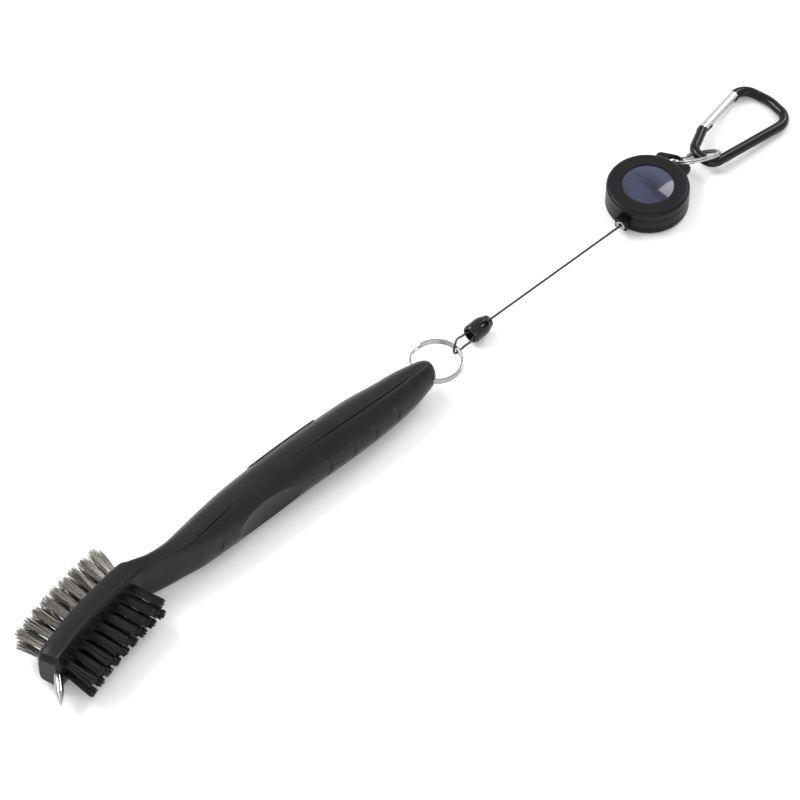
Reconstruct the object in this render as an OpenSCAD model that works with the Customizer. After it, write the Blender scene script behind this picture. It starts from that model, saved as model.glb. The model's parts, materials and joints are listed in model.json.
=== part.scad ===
// Club groove brush on a retractable line, lying on its edge.
// +X runs from the brush's nose to its tail and on to the carabiner, +Y is the wire-bristle side,
// -Y is the nylon side and +Z is up from the surface that everything lies on. Millimetres.

/* [Brush] */
// Height of the handle's centre plane above the surface
mid_z = 9.65; // [9.65:0.05:10.2]
// Distance from the tail's tip to the centre of the ring hole
hole_from_tail = 4.6; // [4.4:0.1:5]
// Bore of the ring hole through the tail
hole_d = 4.4; // [4.2:0.1:4.8]
// Thickness of the soft grip over the handle's core
grip_t = 2.8; // [2.6:0.1:3]

/* [Head] */
// Angle by which the head leans to the nylon side
head_bend = 12.7; // [11:0.1:14]
// Pitch of the tufts along a row, on the face that they stand on
tuft_pitch = 4.8; // [4.7:0.05:4.9]
// Pitch of the three rows
row_pitch = 3.3; // [3.2:0.1:3.6]
// Bore of the tuft holes
tuft_hole_d = 2.9; // [2.7:0.1:3]
// Depth of the tuft holes
tuft_hole_depth = 3.8; // [3.4:0.1:3.9]
// Length of the nylon tufts outside the head
nylon_out = 13; // [12:0.2:14]
// Length of the wire tufts outside the head
wire_out = 11.6; // [11:0.2:12.4]
// Diameter of the groove spike's shank
spike_d = 3.2; // [3:0.1:3.4]
// Length of the spike outside the head
spike_out = 11.4; // [10:0.2:12]

/* [Line] */
// Diameter of the line
line_d = 0.9; // [0.8:0.05:1]
// Height of the line, and of the reel's middle
line_z = 4.9; // [4.8:0.05:5]
// Length of line drawn out between the cord cap and the reel
line_out = 68.6; // [66:0.2:71]
// Outer diameter of the key ring
key_ring_d = 20.3; // [20:0.1:20.8]
// Diameter of the cord cap at its mouth
cap_d = 7.4; // [7:0.1:7.6]
// Length of the cord cap
cap_l = 10.4; // [10:0.2:11]

/* [Reel] */
// Diameter of the reel's case
reel_d = 32; // [31.6:0.1:33]
// Thickness of the reel's case
reel_t = 11; // [10.6:0.1:11.4]
// Turn of the reel on the surface
reel_yaw = 12.5; // [12:0.5:13]
// Diameter of the round label
label_d = 19.8; // [18:0.2:21]
// Outer diameter of the reel's split ring
reel_ring_d = 19.3; // [19.1:0.1:19.5]

/* [Carabiner] */
// Diameter of the carabiner's rod
rod_d = 4; // [3.8:0.1:4.2]
// Length of the gate from its pivot to its end
gate_l = 21.5; // [21:0.1:22]

/* [Hidden] */
fit = 0.05;          // radial play of a running or press fit
$fn = 64;

// The brush is laid out from its own axis, and this moves the whole layout to its box's centre
centre = [122.46, -0.51];

// ---- outline of the handle, neck and head ----
tail_x = -122.8;
hole_x = tail_x - hole_from_tail;
head_x = -262;       // where the head starts
head_y = 1.9;
head_l = 51.5;       // from there to the nose, along its curve
head_curl = 17;      // the head curves to the nylon side by this angle
head_half_z = 8.6;
nose_step = 2.6;

// One station: [x, y, yaw, to the wire side, to the nylon side, ridge, half height,
// roundness of the wire side, roundness of the nylon side]
head_r = head_l * 180 / (PI * head_curl);
function head_yaw(s) = head_bend + head_curl * (s / head_l - 0.5);
function head_point(s) =
    [head_x + head_r * (sin(head_yaw(0)) - sin(head_yaw(s))),
     head_y + head_r * (cos(head_yaw(s)) - cos(head_yaw(0)))];
function head_station(s, wire, nylon, ridge, half, ew, en) =
    [each head_point(s), head_yaw(s), wire, nylon, ridge, half, ew, en];
STATIONS = [
    [tail_x, -0.5, 0, 2.2, 1.8, 0, 3.2, 2, 2],
    [tail_x - 0.7, -0.5, 0, 3.6, 3.2, 0.2, 4.9, 2, 2],
    [tail_x - 2.4, -0.6, 0, 4.7, 4.5, 0.6, 6.2, 2, 1.9],
    [tail_x - 6, -0.6, 0, 5.6, 5.6, 1, 7.1, 2.1, 1.8],
    [-137, -0.8, 0, 7.2, 7.4, 1.5, 8.2, 2.2, 1.7],
    [-147, -0.8, 0, 8.2, 8.6, 2, 8.9, 2.2, 1.7],
    [-158, -0.5, 0, 9.3, 9.6, 2.3, 9.4, 2.2, 1.7],
    [-172, -0.2, 0, 9.5, 10, 2.4, 9.6, 2.2, 1.7],
    [-190, 0, 0, 9.4, 9.8, 2.4, 9.6, 2.2, 1.8],
    [-206, -0.2, 0, 9.2, 9.6, 2.5, 9.5, 2.2, 1.9],
    [-219, -0.6, 0, 8.8, 9.3, 2.6, 9.3, 2.2, 1.9],
    [-230, -1.1, 0, 7.9, 8.6, 3.2, 9, 2.3, 1.9],
    [-240, -1.3, 1, 6.4, 7.4, 4, 8.6, 2.5, 2],
    [-249, -0.9, 2, 4.2, 5.7, 3.9, 8.4, 3, 2],
    [-257, 0.1, 3, 2.9, 4.9, 3.7, 8.5, 4, 2],
    head_station(2, 3.1, 5.6, 3.7, head_half_z, 5, 2.2),
    head_station(7, 4.8, 5.6, 3.7, head_half_z, 5, 2.2),
    head_station(30, 4.9, 5.2, 3.7, head_half_z, 5, 2.2),
    head_station(head_l - 4, 4.9, 4.7, 3.7, head_half_z, 5, 2.2),
    head_station(head_l - 1.4, 4.5, 4.3, 3.5, head_half_z - 0.8, 5, 2.2),
    head_station(head_l, 3.6, 3.4, 2.8, head_half_z - nose_step, 5, 2.2),
];

// Smooth values between stations, and one closed ring of points at each step
function smooth(a, b, c, d, t) =
    b + 0.5 * t * (c - a + t * (2 * a - 5 * b + 4 * c - d + t * (3 * (b - c) + d - a)));
function station_at(list, i, t) =
    let (n = len(list) - 1, a = list[max(i - 1, 0)], b = list[i], c = list[i + 1],
         d = list[min(i + 2, n)])
    [for (k = [0:8]) smooth(a[k], b[k], c[k], d[k], t)];
function stations_between(list, first, last, steps) =
    [for (i = [first:last - 1], j = [0:steps - 1]) station_at(list, i, j / steps),
     list[last]];

QUARTER = 7;         // points in a quarter of a ring
function quarter(side, ridge, half, e) =
    [for (i = [0:QUARTER - 1]) let (a = 90 * i / QUARTER)
        [ridge + (side - ridge) * pow(sin(a), 2 / e), half * pow(cos(a), 2 / e)]];
function flip_z(points) = [for (i = [len(points) - 1:-1:0]) [points[i][0], -points[i][1]]];
// Half of a section from its top ridge round one side to its bottom ridge; sign -1 is the wire side
function half_section(s, sign, grow) =
    let (side = sign < 0 ? -s[3] - grow : s[4] + grow,
         q = quarter(side, s[5], s[6] + grow, sign < 0 ? s[7] : s[8]))
    concat(q, [[side, 0]], flip_z(q));
function place(s, p) =
    [s[0] - p[0] * -sin(s[2]), s[1] - p[0] * cos(s[2]), mid_z + p[1]];
function full_ring(s, grow) =
    let (w = half_section(s, -1, grow), n = half_section(s, 1, grow), last = len(w) - 1)
    concat([for (i = [0:last]) place(s, w[i])], [for (i = [last - 1:-1:1]) place(s, n[i])]);
function shell_ring(s, sign, inner, gap) =
    let (out = half_section(s, sign, 0), in = half_section(s, sign, -inner),
         shift = function (p) [sign < 0 ? min(p[0], s[5] - gap) : max(p[0], s[5] + gap), p[1]],
         last = len(out) - 1)
    sign < 0 ?
        concat([for (i = [0:last]) place(s, shift(out[i]))],
               [for (i = [last:-1:0]) place(s, shift(in[i]))]) :
        concat([for (i = [last:-1:0]) place(s, shift(out[i]))],
               [for (i = [0:last]) place(s, shift(in[i]))]);

// ---- where the pieces on the line lie ----
ring_wire = 1.2;     // radial thickness of a split ring
ring_h = 2.2;        // height of its two turns
key_ring_r = (key_ring_d - ring_wire) / 2;
key_ring_turn = 10;  // the ring lies turned this much about its hole
ring_inset = 0.6;
ring_x = hole_x + (key_ring_r - ring_inset) * cos(key_ring_turn);
ring_y = -0.5 + (key_ring_r - ring_inset) * sin(key_ring_turn);
loop_turn = -5;      // where the line's loop goes round the key ring
loop_x = ring_x + key_ring_r * cos(loop_turn);
loop_y = ring_y + key_ring_r * sin(loop_turn);
line_y = 5.1;
cap_yaw = 3;
cap_x = -88;         // the cap's end face, where the line enters it
sleeve_d = 2.6;
nozzle_x = cap_x + line_out;
reel_r = reel_d / 2;
nozzle_out = 19.4;   // from the reel's centre to the grommet's face
reel_x = nozzle_x + nozzle_out * cos(reel_yaw);
reel_y = line_y + nozzle_out * sin(reel_yaw);

sleeve_l = 3.4;
sleeve_z = [cap_l - 8, cap_l - 8 + sleeve_l]; // along the cap from its line end
function in_cap(z, across) =
    [cap_x + z * cos(180 + cap_yaw) + across * sin(-cap_yaw),
     line_y + z * sin(180 + cap_yaw) + across * cos(cap_yaw), line_z];

// A point by the loop's place on the key ring: outward from the ring's wire, across, and its height
function on_loop(out, across, z) =
    [loop_x + out * cos(loop_turn) - across * sin(loop_turn),
     loop_y + out * sin(loop_turn) + across * cos(loop_turn), z];
// Route of the loop: out of the sleeve, over the key ring, down inside it and back under it
LOOP = [
    in_cap(sleeve_z[1], 0.5), in_cap(cap_l - 2.4, 1.2), in_cap(cap_l, 1.8),
    on_loop(6.9, 5.5, 6.9), on_loop(3.8, 4.4, 8.7), on_loop(1.5, 2.5, 10.7),
    on_loop(0.2, 1.2, 11.6), on_loop(-1, 0.4, 11.1), on_loop(-1.5, 0, 9.6),
    on_loop(-1, -0.2, 8.1), on_loop(0.4, 0, 7.5), on_loop(2.4, 0.6, 7.1),
    on_loop(5, 1.5, 6.4), on_loop(8.1, 2.3, 5.5),
    in_cap(cap_l, -1.8), in_cap(cap_l - 2.4, -1.2), in_cap(sleeve_z[1], -0.5),
];
// Route of the drawn-out line, from the sleeve in the cap to the reel
LINE = concat([in_cap(sleeve_z[0], 0), in_cap(1.5, 0)],
    [for (i = [0:12]) [cap_x + 0.5 + (line_out - 0.7) * i / 12, line_y, line_z]]);

// ---- reel ----
cover_t = 3.7;       // height of the front cover's edge
back_t = 2.6;
seam = 0.3;          // groove between the case's pieces
case_z = [back_t + seam, reel_t - cover_t - seam];
wall = 1.3;
floor_t = 1.4;
label_t = 0.25;
label_z = reel_t - 0.6; // floor of the label's recess
front_t = 0.8;
lug_r = 18.7;        // from the reel's centre to the lug's hole
lug_hole_r = 2.7;
lug_t = 1.6;
lug_rim = 3.5;
lug_z = case_z[1] - lug_t;
lug_corner = [18.4, 5.4, 2]; // centre and radius of the lug's outer corners
lug_root = [14.6, 6.9, 0.5];
boss_w = 5;
boss_out = nozzle_out - 0.5;
spool_z = [2.2, reel_t - 1.8];
flange_t = 0.6;
drum_r = 8.2;
drum_wall = 0.8;
flange_r = 13.4;
arbor_r = 1.6;
wound_r = 11.6;
spring_turns = 8;
spring_t = 0.3;
spring_r = [1.9, drum_r - drum_wall - 0.4];
grommet_bore = 0.75;

// ---- split ring and carabiner ----
reel_ring_r = (reel_ring_d - ring_wire) / 2;
reel_ring_h = 1.7;
reel_ring_tilt = 41;
ring_lead = -31;     // direction from the lug's hole to the ring's centre
ring_rise = 6.5;
lug_x = reel_x + lug_r * cos(reel_yaw);
lug_y = reel_y + lug_r * sin(reel_yaw);
carabiner_at = [28.1, 3.4, 5.05];
carabiner_yaw = -4;
carabiner_pitch = 3.75;// the narrow end is held up by the ring
rod_r = rod_d / 2;
// Corners of the rod's centre line and the radius of each bend, in the carabiner's own plane
gate_angle = 16.8;
pivot = [12.4, 17];
pivot_gap = 2.4;
nose_gap = 0.35;
function on_gate(x) = pivot + x * [cos(gate_angle), sin(gate_angle)];
ROD = [
    [on_gate(-pivot_gap), 0], [[-0.4, 9.8], 5], [[0.4, 0], 4], [[41.7, 0], 6.5],
    [[42.3, 12.5], 14], [[38.6, 24.4], 5.5], [on_gate(gate_l + nose_gap), 0],
];
gate_r = 2.1;
pin_r = 0.6;
tongue_t = 1.5;
tongue_r = 1.8;
nose_t = 1.3;
nose_l = 2.6;
slot_play = 0.15;    // on each side of a tongue in its slot
spring_bore_r = 1.1;
spring_at = [4.2, 12];

// Shared shapes
module at_origin() translate([centre[0], centre[1], 0]) children();

// A skin over closed rings; an open shell's end caps are strips between its outer and inner halves
module loft(rings, shell = false) {
    n = len(rings[0]);
    last = len(rings) - 1;
    sides = [for (i = [0:last - 1], j = [0:n - 1])
        let (a = i * n + j, b = i * n + (j + 1) % n) each [[a, a + n, b], [b, a + n, b + n]]];
    cap = shell ? [for (j = [0:n / 2 - 2]) [j, j + 1, n - 2 - j, n - 1 - j]] : [[for (j = [0:n - 1]) j]];
    caps = [for (c = cap) each [c, [for (k = [len(c) - 1:-1:0]) last * n + c[k]]]];
    polyhedron([for (r = rings) each r], concat(sides, caps), convexity = 8);
}

// A round tube of 8 sides along a route
function along(route, i) =
    let (a = route[max(i - 1, 0)], b = route[min(i + 1, len(route) - 1)]) (b - a) / norm(b - a);
function tube_rings(route, r) =
    [for (i = [0:len(route) - 1])
        let (t = along(route, i), side = cross(t, [0.13, 0.2, 1]), u = side / norm(side),
             v = cross(u, t))
        [for (k = [0:7]) route[i] + r * (cos(45 * k) * u + sin(45 * k) * v)]];

module split_ring(outer, height) {
    inner = outer - ring_wire;
    h = height / 2;
    rotate_extrude() polygon([
        [inner, -h], [outer, -h], [outer, -0.12], [outer - 0.4, 0], [outer, 0.12], [outer, h],
        [inner, h], [inner, 0.12], [inner + 0.3, 0], [inner, -0.12],
    ]);
}

// A rod along corners, each bend a torus section of its own radius, with a hair-thin collar
// over each joint of a bend and a straight
function unit(v) = v / norm(v);
module collar(at, d, r) translate([at[0], at[1], 0]) rotate([0, 90, atan2(d[1], d[0])])
    cylinder(r = r + 0.02, h = 0.3, center = true);
module rod_along(corners, r) {
    n = len(corners);
    p = [for (c = corners) c[0]];
    turn = [for (i = [0:n - 1]) i == 0 || i == n - 1 ? 0 :
        let (a = unit(p[i] - p[i - 1]), b = unit(p[i + 1] - p[i]))
        atan2(a[0] * b[1] - a[1] * b[0], a * b)];
    cut = [for (i = [0:n - 1]) corners[i][1] * tan(abs(turn[i]) / 2)];
    for (i = [0:n - 2]) {
        d = unit(p[i + 1] - p[i]);
        start = p[i] + d * cut[i];
        translate([start[0], start[1], 0]) rotate([0, 90, atan2(d[1], d[0])])
            cylinder(r = r, h = norm(p[i + 1] - p[i]) - cut[i] - cut[i + 1]);
    }
    for (i = [1:n - 2]) {
        a = unit(p[i] - p[i - 1]);
        s = sign(turn[i]);
        mid = p[i] - a * cut[i] + s * corners[i][1] * [-a[1], a[0]];
        from = atan2(-s * a[0], s * a[1]);
        translate([mid[0], mid[1], 0]) rotate([0, 0, s > 0 ? from : from + turn[i]])
            rotate_extrude(angle = abs(turn[i])) translate([corners[i][1], 0]) circle(r = r);
        collar(p[i] - a * cut[i], a, r);
        b = unit(p[i + 1] - p[i]);
        collar(p[i] + b * cut[i], b, r);
    }
}

// Frames
module head_frame() translate([head_x, head_y, mid_z]) rotate([0, 0, 180 + head_bend]) children();
module reel_frame() translate([reel_x, reel_y, 0]) rotate([0, 0, reel_yaw]) children();
module ring2_frame() translate([lug_x, lug_y, lug_z + lug_t / 2])
    rotate([0, -ring_rise, ring_lead]) rotate([-reel_ring_tilt, 0, 0])
    translate([reel_ring_r, 0, 0]) children();
module carabiner_frame() translate(carabiner_at) rotate([0, carabiner_pitch, carabiner_yaw])
    children();
module gate_frame() carabiner_frame() translate([pivot[0], pivot[1], 0])
    rotate([0, 0, gate_angle]) children();
module cap_frame() translate([cap_x, line_y, line_z]) rotate([0, 0, 180 + cap_yaw])
    rotate([0, 90, 0]) children();

// ---- tufts ----
first_wire = 8.3;
first_nylon = 7.2;
wire_lift = 2;       // the wire rows sit this much above the middle
// Distance from the head's centre line to the face that a tuft stands on
wire_face = -4.6;
nylon_face = 4.8;
function row_z(row, wire) = (row - 1) * row_pitch + (wire ? wire_lift : 0);
// The middle rows are staggered: the wire's towards the handle, the nylon's clear of the spike
function tuft_s(row, i, wire) =
    let (step = tuft_pitch / (1 - (wire ? wire_face : nylon_face) / head_r))
    (wire ? first_wire : first_nylon) + step * (i + (row != 1 ? 0 : wire ? -0.5 : 0.5));
function tufts_in(row, wire) = wire || row != 1 ? 9 : 7;
// A tuft leans along the head with its place in the row
function wire_lean(s) = -11.4 + 0.165 * s;
function nylon_lean(s) = head_bend - head_yaw(s) + 2.3 - 0.19 * s;

module for_tufts(row, wire) {
    for (i = [0:tufts_in(row, wire) - 1]) {
        s = tuft_s(row, i, wire);
        at = head_point(s);
        translate([at[0], at[1], mid_z]) rotate([0, 0, 180 + head_yaw(s)])
            translate([0, wire ? wire_face : nylon_face, row_z(row, wire)])
            rotate([wire ? 90 : -90, 0, wire ? wire_lean(s) : nylon_lean(s)])
            children();
    }
}
module tuft_holes() {
    for (row = [0:2], wire = [true, false])
        for_tufts(row, wire)
            translate([0, 0, -tuft_hole_depth]) cylinder(d = tuft_hole_d, h = tuft_hole_depth + 2);
}
module tuft_row(row, wire, out, splay) {
    root = tuft_hole_depth - 1.2;
    for_tufts(row, wire) {
        translate([0, 0, -root]) cylinder(d = tuft_hole_d - 2 * fit, h = root);
        cylinder(d1 = tuft_hole_d - 2 * fit, d2 = splay, h = out);
    }
}
module staples(wire) {
    for (row = [0:2])
        for_tufts(row, wire)
            translate([-1.1, -0.3, -tuft_hole_depth + 0.1]) cube([2.2, 0.6, 1]);
}

// ---- spike ----
spike_at = [51.2, 4.4];
spike_angle = 42;
spike_in = 6.6;
spike_cone = 5.2;
module spike_frame() head_frame() translate([spike_at[0], spike_at[1], 0])
    rotate([0, 90, spike_angle]) children();

// ---- brush ----
GRIP = [4, 12];      // stations between which the soft grip lies
seam_half = 0.12;    // half the groove between the two grip mouldings
badge = [-204, -172, 6, 3]; // from, to, half height, corner radius
badge_out = 0.5;
scoop_r = 58;
scoop_depth = 2;
scoop_x = -209;

function moved(s, dx) = [for (k = [0:8]) k == 0 ? s[0] + dx : s[k]];
function grip_stations(over) =
    let (all = stations_between(STATIONS, GRIP[0], GRIP[1], 2), last = len(all) - 1)
    [for (i = [0:last]) i == 0 ? moved(all[0], over) : i == last ? moved(all[last], -over) : all[i]];

module ring_hole() {
    sink = 2.9;      // where the countersinks start on each side
    translate([hole_x, -0.6, mid_z]) for (side = [-90, 90]) rotate([side, 0, 0]) {
        cylinder(d = hole_d, h = 12);
        translate([0, 0, sink]) cylinder(d1 = hole_d, d2 = 3 * hole_d, h = 2 * hole_d);
    }
}
module handle_core() {
    color("#2b2b2e") at_origin() difference() {
        union() {
            loft([for (s = stations_between(STATIONS, 0, GRIP[0], 2)) full_ring(s, 0)]);
            loft([for (s = grip_stations(1)) full_ring(s, -grip_t)]);
            loft([for (s = stations_between(STATIONS, GRIP[1], len(STATIONS) - 1, 2))
                full_ring(s, 0)]);
        }
        ring_hole();
        tuft_holes();
        spike_frame() translate([0, 0, -spike_in]) cylinder(d = spike_d, h = spike_in + 9);
    }
}
module grip_half(sign) {
    loft([for (s = grip_stations(-fit)) shell_ring(s, sign, grip_t - fit, seam_half)],
        shell = true);
}
module badge_prism(play) {
    r = badge[3];
    translate([0, 0, mid_z]) rotate([-90, 0, 0]) linear_extrude(20)
        hull() for (x = [badge[0] + r, badge[1] - r], z = [-1, 1] * (badge[2] - r))
            translate([x, z]) circle(r = r + play, $fn = 32);
}
module badge_floor() {
    loft([for (s = stations_between(STATIONS, 6, 11, 2)) full_ring(s, badge_out - 1.2)]);
}
module grip_wire_side() {
    color("#141416") at_origin() difference() {
        grip_half(-1);
        difference() {
            badge_prism(fit);
            badge_floor();
        }
    }
}
module grip_nylon_side() {
    color("#141416") at_origin() difference() {
        grip_half(1);
        translate([scoop_x, -9.8 - scoop_r + scoop_depth, mid_z]) sphere(r = scoop_r, $fn = 96);
    }
}
module badge_plate() {
    color("#1d1e21") at_origin() difference() {
        intersection() {
            badge_prism(0);
            loft([for (s = stations_between(STATIONS, 6, 11, 2)) full_ring(s, badge_out)]);
        }
        badge_floor();
    }
}
module wire_tufts_upper() color("#c2a25a") at_origin() tuft_row(2, true, wire_out, 4.4);
module wire_tufts_middle() color("#c2a25a") at_origin() tuft_row(1, true, wire_out, 4.4);
module wire_tufts_lower() color("#c2a25a") at_origin() tuft_row(0, true, wire_out, 4.4);
module nylon_tufts_upper() color("#17181b") at_origin() tuft_row(2, false, nylon_out, 3.8);
module nylon_tufts_middle() color("#17181b") at_origin() tuft_row(1, false, nylon_out, 3.8);
module nylon_tufts_lower() color("#17181b") at_origin() tuft_row(0, false, nylon_out, 3.8);
module wire_staples() color("#b9b9b4") at_origin() staples(true);
module nylon_staples() color("#b9b9b4") at_origin() staples(false);
module groove_spike() {
    r = spike_d / 2 - fit;
    color("#c9cbce") at_origin() spike_frame() {
        translate([0, 0, -spike_in + fit]) cylinder(r = r, h = spike_in + spike_out - spike_cone);
        translate([0, 0, spike_out - spike_cone + fit]) cylinder(r1 = r, r2 = 0.25, h = spike_cone);
    }
}

// ---- key ring, loop and cord cap ----
module key_ring() {
    color("#d5d7da") at_origin() translate([ring_x, ring_y, mid_z])
        split_ring(key_ring_d / 2, ring_h);
}
module line_loop() color("#101012") at_origin() loft(tube_rings(LOOP, line_d / 2));
module line() color("#101012") at_origin() loft(tube_rings(LINE, line_d / 2));
module crimp_sleeve() {
    color("#d5d7da") at_origin() cap_frame() translate([0, 0, sleeve_z[0]])
        cylinder(d = sleeve_d, h = sleeve_l);
}
module cord_cap() {
    r = cap_d / 2;
    inside = 2.6;
    neck = 3;
    neck_r = 2.5;
    slot = [3.4, 1.8];
    color("#18181b") at_origin() cap_frame() difference() {
        rotate_extrude() polygon([
            [line_d / 2 + 0.25, 0], [neck_r - 0.4, 0], [neck_r, 0.4], [neck_r + 0.3, 1.4],
            [r - 0.3, 3], [r - 0.05, 4.2], [r, 5.4], [r, cap_l - 0.9],
            [r - 0.3, cap_l - 0.2], [r - 0.6, cap_l], [inside + 0.1, cap_l],
            [inside, cap_l - 0.4], [inside, neck], [line_d / 2 + 0.25, neck - 1],
        ]);
        rotate([0, 0, 150]) translate([inside - 1, -slot[1] / 2, sleeve_z[0] + 0.3])
            cube([3, slot[1], slot[0]]);
    }
}

// ---- reel ----
module back_cover() {
    screw_r = 2.55;
    color("#17181b") at_origin() reel_frame() rotate_extrude() polygon([
        [0.95, 0.95], [screw_r, 0.95], [screw_r, 0], [reel_r - 1.3, 0], [reel_r - 0.4, 0.35],
        [reel_r, 1.2], [reel_r, back_t], [reel_r - wall, back_t], [reel_r - wall, floor_t + 0.4],
        [reel_r - wall - 0.4, floor_t], [0.95, floor_t],
    ]);
}
module lug_outline() {
    hull() {
        translate([lug_r, 0]) circle(r = lug_rim);
        for (c = [lug_corner, lug_root], side = [-1, 1])
            translate([c[0], side * c[1]]) circle(r = c[2], $fn = 32);
    }
}
module reel_case() {
    neck = reel_r - 0.5;
    color("#141518") at_origin() reel_frame() difference() {
        union() {
            rotate_extrude() polygon([
                [reel_r - wall, back_t], [neck, back_t], [neck, case_z[0]], [reel_r, case_z[0]],
                [reel_r, case_z[1]], [neck, case_z[1]], [neck, case_z[1] + seam],
                [reel_r - wall, case_z[1] + seam],
            ]);
            difference() {
                union() {
                    translate([0, 0, lug_z]) linear_extrude(lug_t) lug_outline();
                    translate([-boss_out, -boss_w / 2, case_z[0]])
                        cube([boss_out - neck + 0.3, boss_w, case_z[1] - case_z[0]]);
                }
                cylinder(r = reel_r - wall, h = reel_t);
            }
        }
        translate([lug_r, 0, 0]) cylinder(r = lug_hole_r, h = reel_t);
        translate([-boss_out - 1, 0, line_z]) rotate([0, 90, 0]) cylinder(r = 1.4 + fit, h = 6);
    }
}
module front_cover() {
    r = label_d / 2 + 0.15;
    bend = 1.5;
    color("#141518") at_origin() reel_frame() rotate_extrude() polygon(concat(
        [[0, label_z - front_t], [reel_r - wall, label_z - front_t],
         [reel_r - wall, reel_t - cover_t], [reel_r, reel_t - cover_t]],
        [for (a = [0:15:90]) [reel_r - bend + bend * cos(a), reel_t - bend + bend * sin(a)]],
        [[r, reel_t], [r, label_z], [0, label_z]]
    ));
}
module line_grommet() {
    color("#d5d7da") at_origin() reel_frame() translate([-nozzle_out, 0, line_z])
        rotate([0, 90, 0]) rotate_extrude() polygon([
            [grommet_bore + 0.35, 0], [1.65, 0], [1.9, 0.2], [1.9, 0.5], [1.4, 0.5], [1.4, 4.2],
            [grommet_bore, 4.2], [grommet_bore, 0.4],
        ]);
}
module arbor() {
    color("#b9bcc0") at_origin() reel_frame() translate([0, 0, floor_t]) difference() {
        cylinder(r = arbor_r, h = label_z - front_t - 0.2 - floor_t);
        translate([0, 0, -1]) cylinder(r = 0.9 + fit, h = 5);
    }
}
module arbor_screw() {
    color("#8d9094") at_origin() reel_frame() translate([0, 0, 0.05]) {
        difference() {
            cylinder(r = 2.4, h = 0.85);
            translate([-2.5, -0.35, -1]) cube([5, 0.7, 1.4]);
        }
        cylinder(r = 0.9, h = 4.8);
    }
}
module power_spring() {
    steps = 20;
    last = spring_turns * steps;
    function spiral(i, off) =
        let (r = spring_r[0] + off + (spring_r[1] - spring_r[0]) * i / last, a = 360 * i / steps)
        [r * cos(a), r * sin(a)];
    color("#7f858c") at_origin() reel_frame() translate([0, 0, spool_z[0] + 0.8])
        linear_extrude(3) polygon(concat(
            [for (i = [0:last]) spiral(i, 0)], [for (i = [last:-1:0]) spiral(i, spring_t)]));
}
module spool() {
    color("#3a3c40") at_origin() reel_frame() rotate_extrude() polygon([
        [arbor_r + fit, spool_z[1] - 1.4], [3, spool_z[1] - 1.4], [3, spool_z[1] - flange_t],
        [drum_r - drum_wall, spool_z[1] - flange_t], [drum_r - drum_wall, spool_z[0]],
        [flange_r, spool_z[0]], [flange_r, spool_z[0] + flange_t],
        [drum_r, spool_z[0] + flange_t], [drum_r, spool_z[1] - flange_t],
        [flange_r, spool_z[1] - flange_t], [flange_r, spool_z[1]], [arbor_r + fit, spool_z[1]],
    ]);
}
module line_on_spool() {
    color("#101012") at_origin() reel_frame() translate([0, 0, spool_z[0] + flange_t + fit])
        difference() {
            cylinder(r = wound_r, h = spool_z[1] - spool_z[0] - 2 * flange_t - 2 * fit);
            translate([0, 0, -1]) cylinder(r = drum_r + fit, h = reel_t);
        }
}
// The line inside the case: through the grommet and on to the side of the coil
module line_in_case() {
    turn_r = wound_r + line_d / 2 + 0.3;
    from = nozzle_out - 5;
    angle = 90 - acos(turn_r / from);
    length = sqrt(from * from - turn_r * turn_r);
    bend = [-from, 0, line_z];
    color("#101012") at_origin() reel_frame() loft(tube_rings([
        [-nozzle_out, 0, line_z], bend, bend + length * [cos(angle), sin(angle), 0],
    ], line_d / 2));
}
module label_disc() {
    color("#1b2a55") at_origin() reel_frame() translate([0, 0, label_z])
        cylinder(d = label_d, h = label_t);
}
module label_dome() {
    rise = 1.15;
    r = label_d / 2 - 0.1;
    big = (r * r + rise * rise) / (2 * rise);
    color("#dfe6f2", 0.5) at_origin() reel_frame() translate([0, 0, label_z + label_t])
        intersection() {
            translate([0, 0, rise - big]) sphere(r = big, $fn = 160);
            cylinder(r = r, h = rise + 1);
        }
}

// ---- split ring and carabiner ----
module reel_ring() {
    color("#d5d7da") at_origin() ring2_frame() split_ring(reel_ring_d / 2, reel_ring_h);
}
module carabiner_body() {
    reach = pivot_gap + 1.5;
    color("#17181b") at_origin() carabiner_frame() difference() {
        union() {
            rod_along(ROD, rod_r, $fn = 60);
            translate([pivot[0], pivot[1], -tongue_t / 2]) rotate([0, 0, gate_angle]) {
                cylinder(r = tongue_r, h = tongue_t);
                translate([-reach, -tongue_r, 0]) cube([reach, 2 * tongue_r, tongue_t]);
            }
            translate([pivot[0], pivot[1], -nose_t / 2]) rotate([0, 0, gate_angle])
                translate([gate_l + nose_gap - nose_l, -1.4, 0]) cube([nose_l + 2, 2.8, nose_t]);
        }
        translate([pivot[0], pivot[1], -5]) cylinder(r = pin_r + fit, h = 10);
    }
}
module gate_pin() {
    color("#b9bcc0") at_origin() gate_frame() translate([0, 0, -gate_r])
        cylinder(r = pin_r, h = 2 * gate_r);
}
module carabiner_gate() {
    back = pivot_gap - 0.4;
    slot = tongue_t / 2 + slot_play;
    nose_slot = nose_t / 2 + slot_play;
    color("#cfd2d6") at_origin() gate_frame() difference() {
        intersection() {
            translate([-back, 0, 0]) rotate([0, 90, 0]) cylinder(r = gate_r, h = gate_l + back);
            union() {
                translate([0, 0, -5]) cylinder(r = back, h = 10);
                translate([0, -5, -5]) cube([gate_l + 1, 10, 10]);
            }
        }
        translate([-5, -5, -slot]) cube([5 + tongue_r + 0.3, 10, 2 * slot]);
        translate([gate_l - nose_l - 0.6, -5, -nose_slot]) cube([10, 10, 2 * nose_slot]);
        translate([0, 0, -5]) cylinder(r = pin_r + fit, h = 10);
        translate([tongue_r, 0, 0]) rotate([0, 90, 0])
            cylinder(r = spring_bore_r, h = spring_at[1] - tongue_r + 0.2);
    }
}
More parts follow.
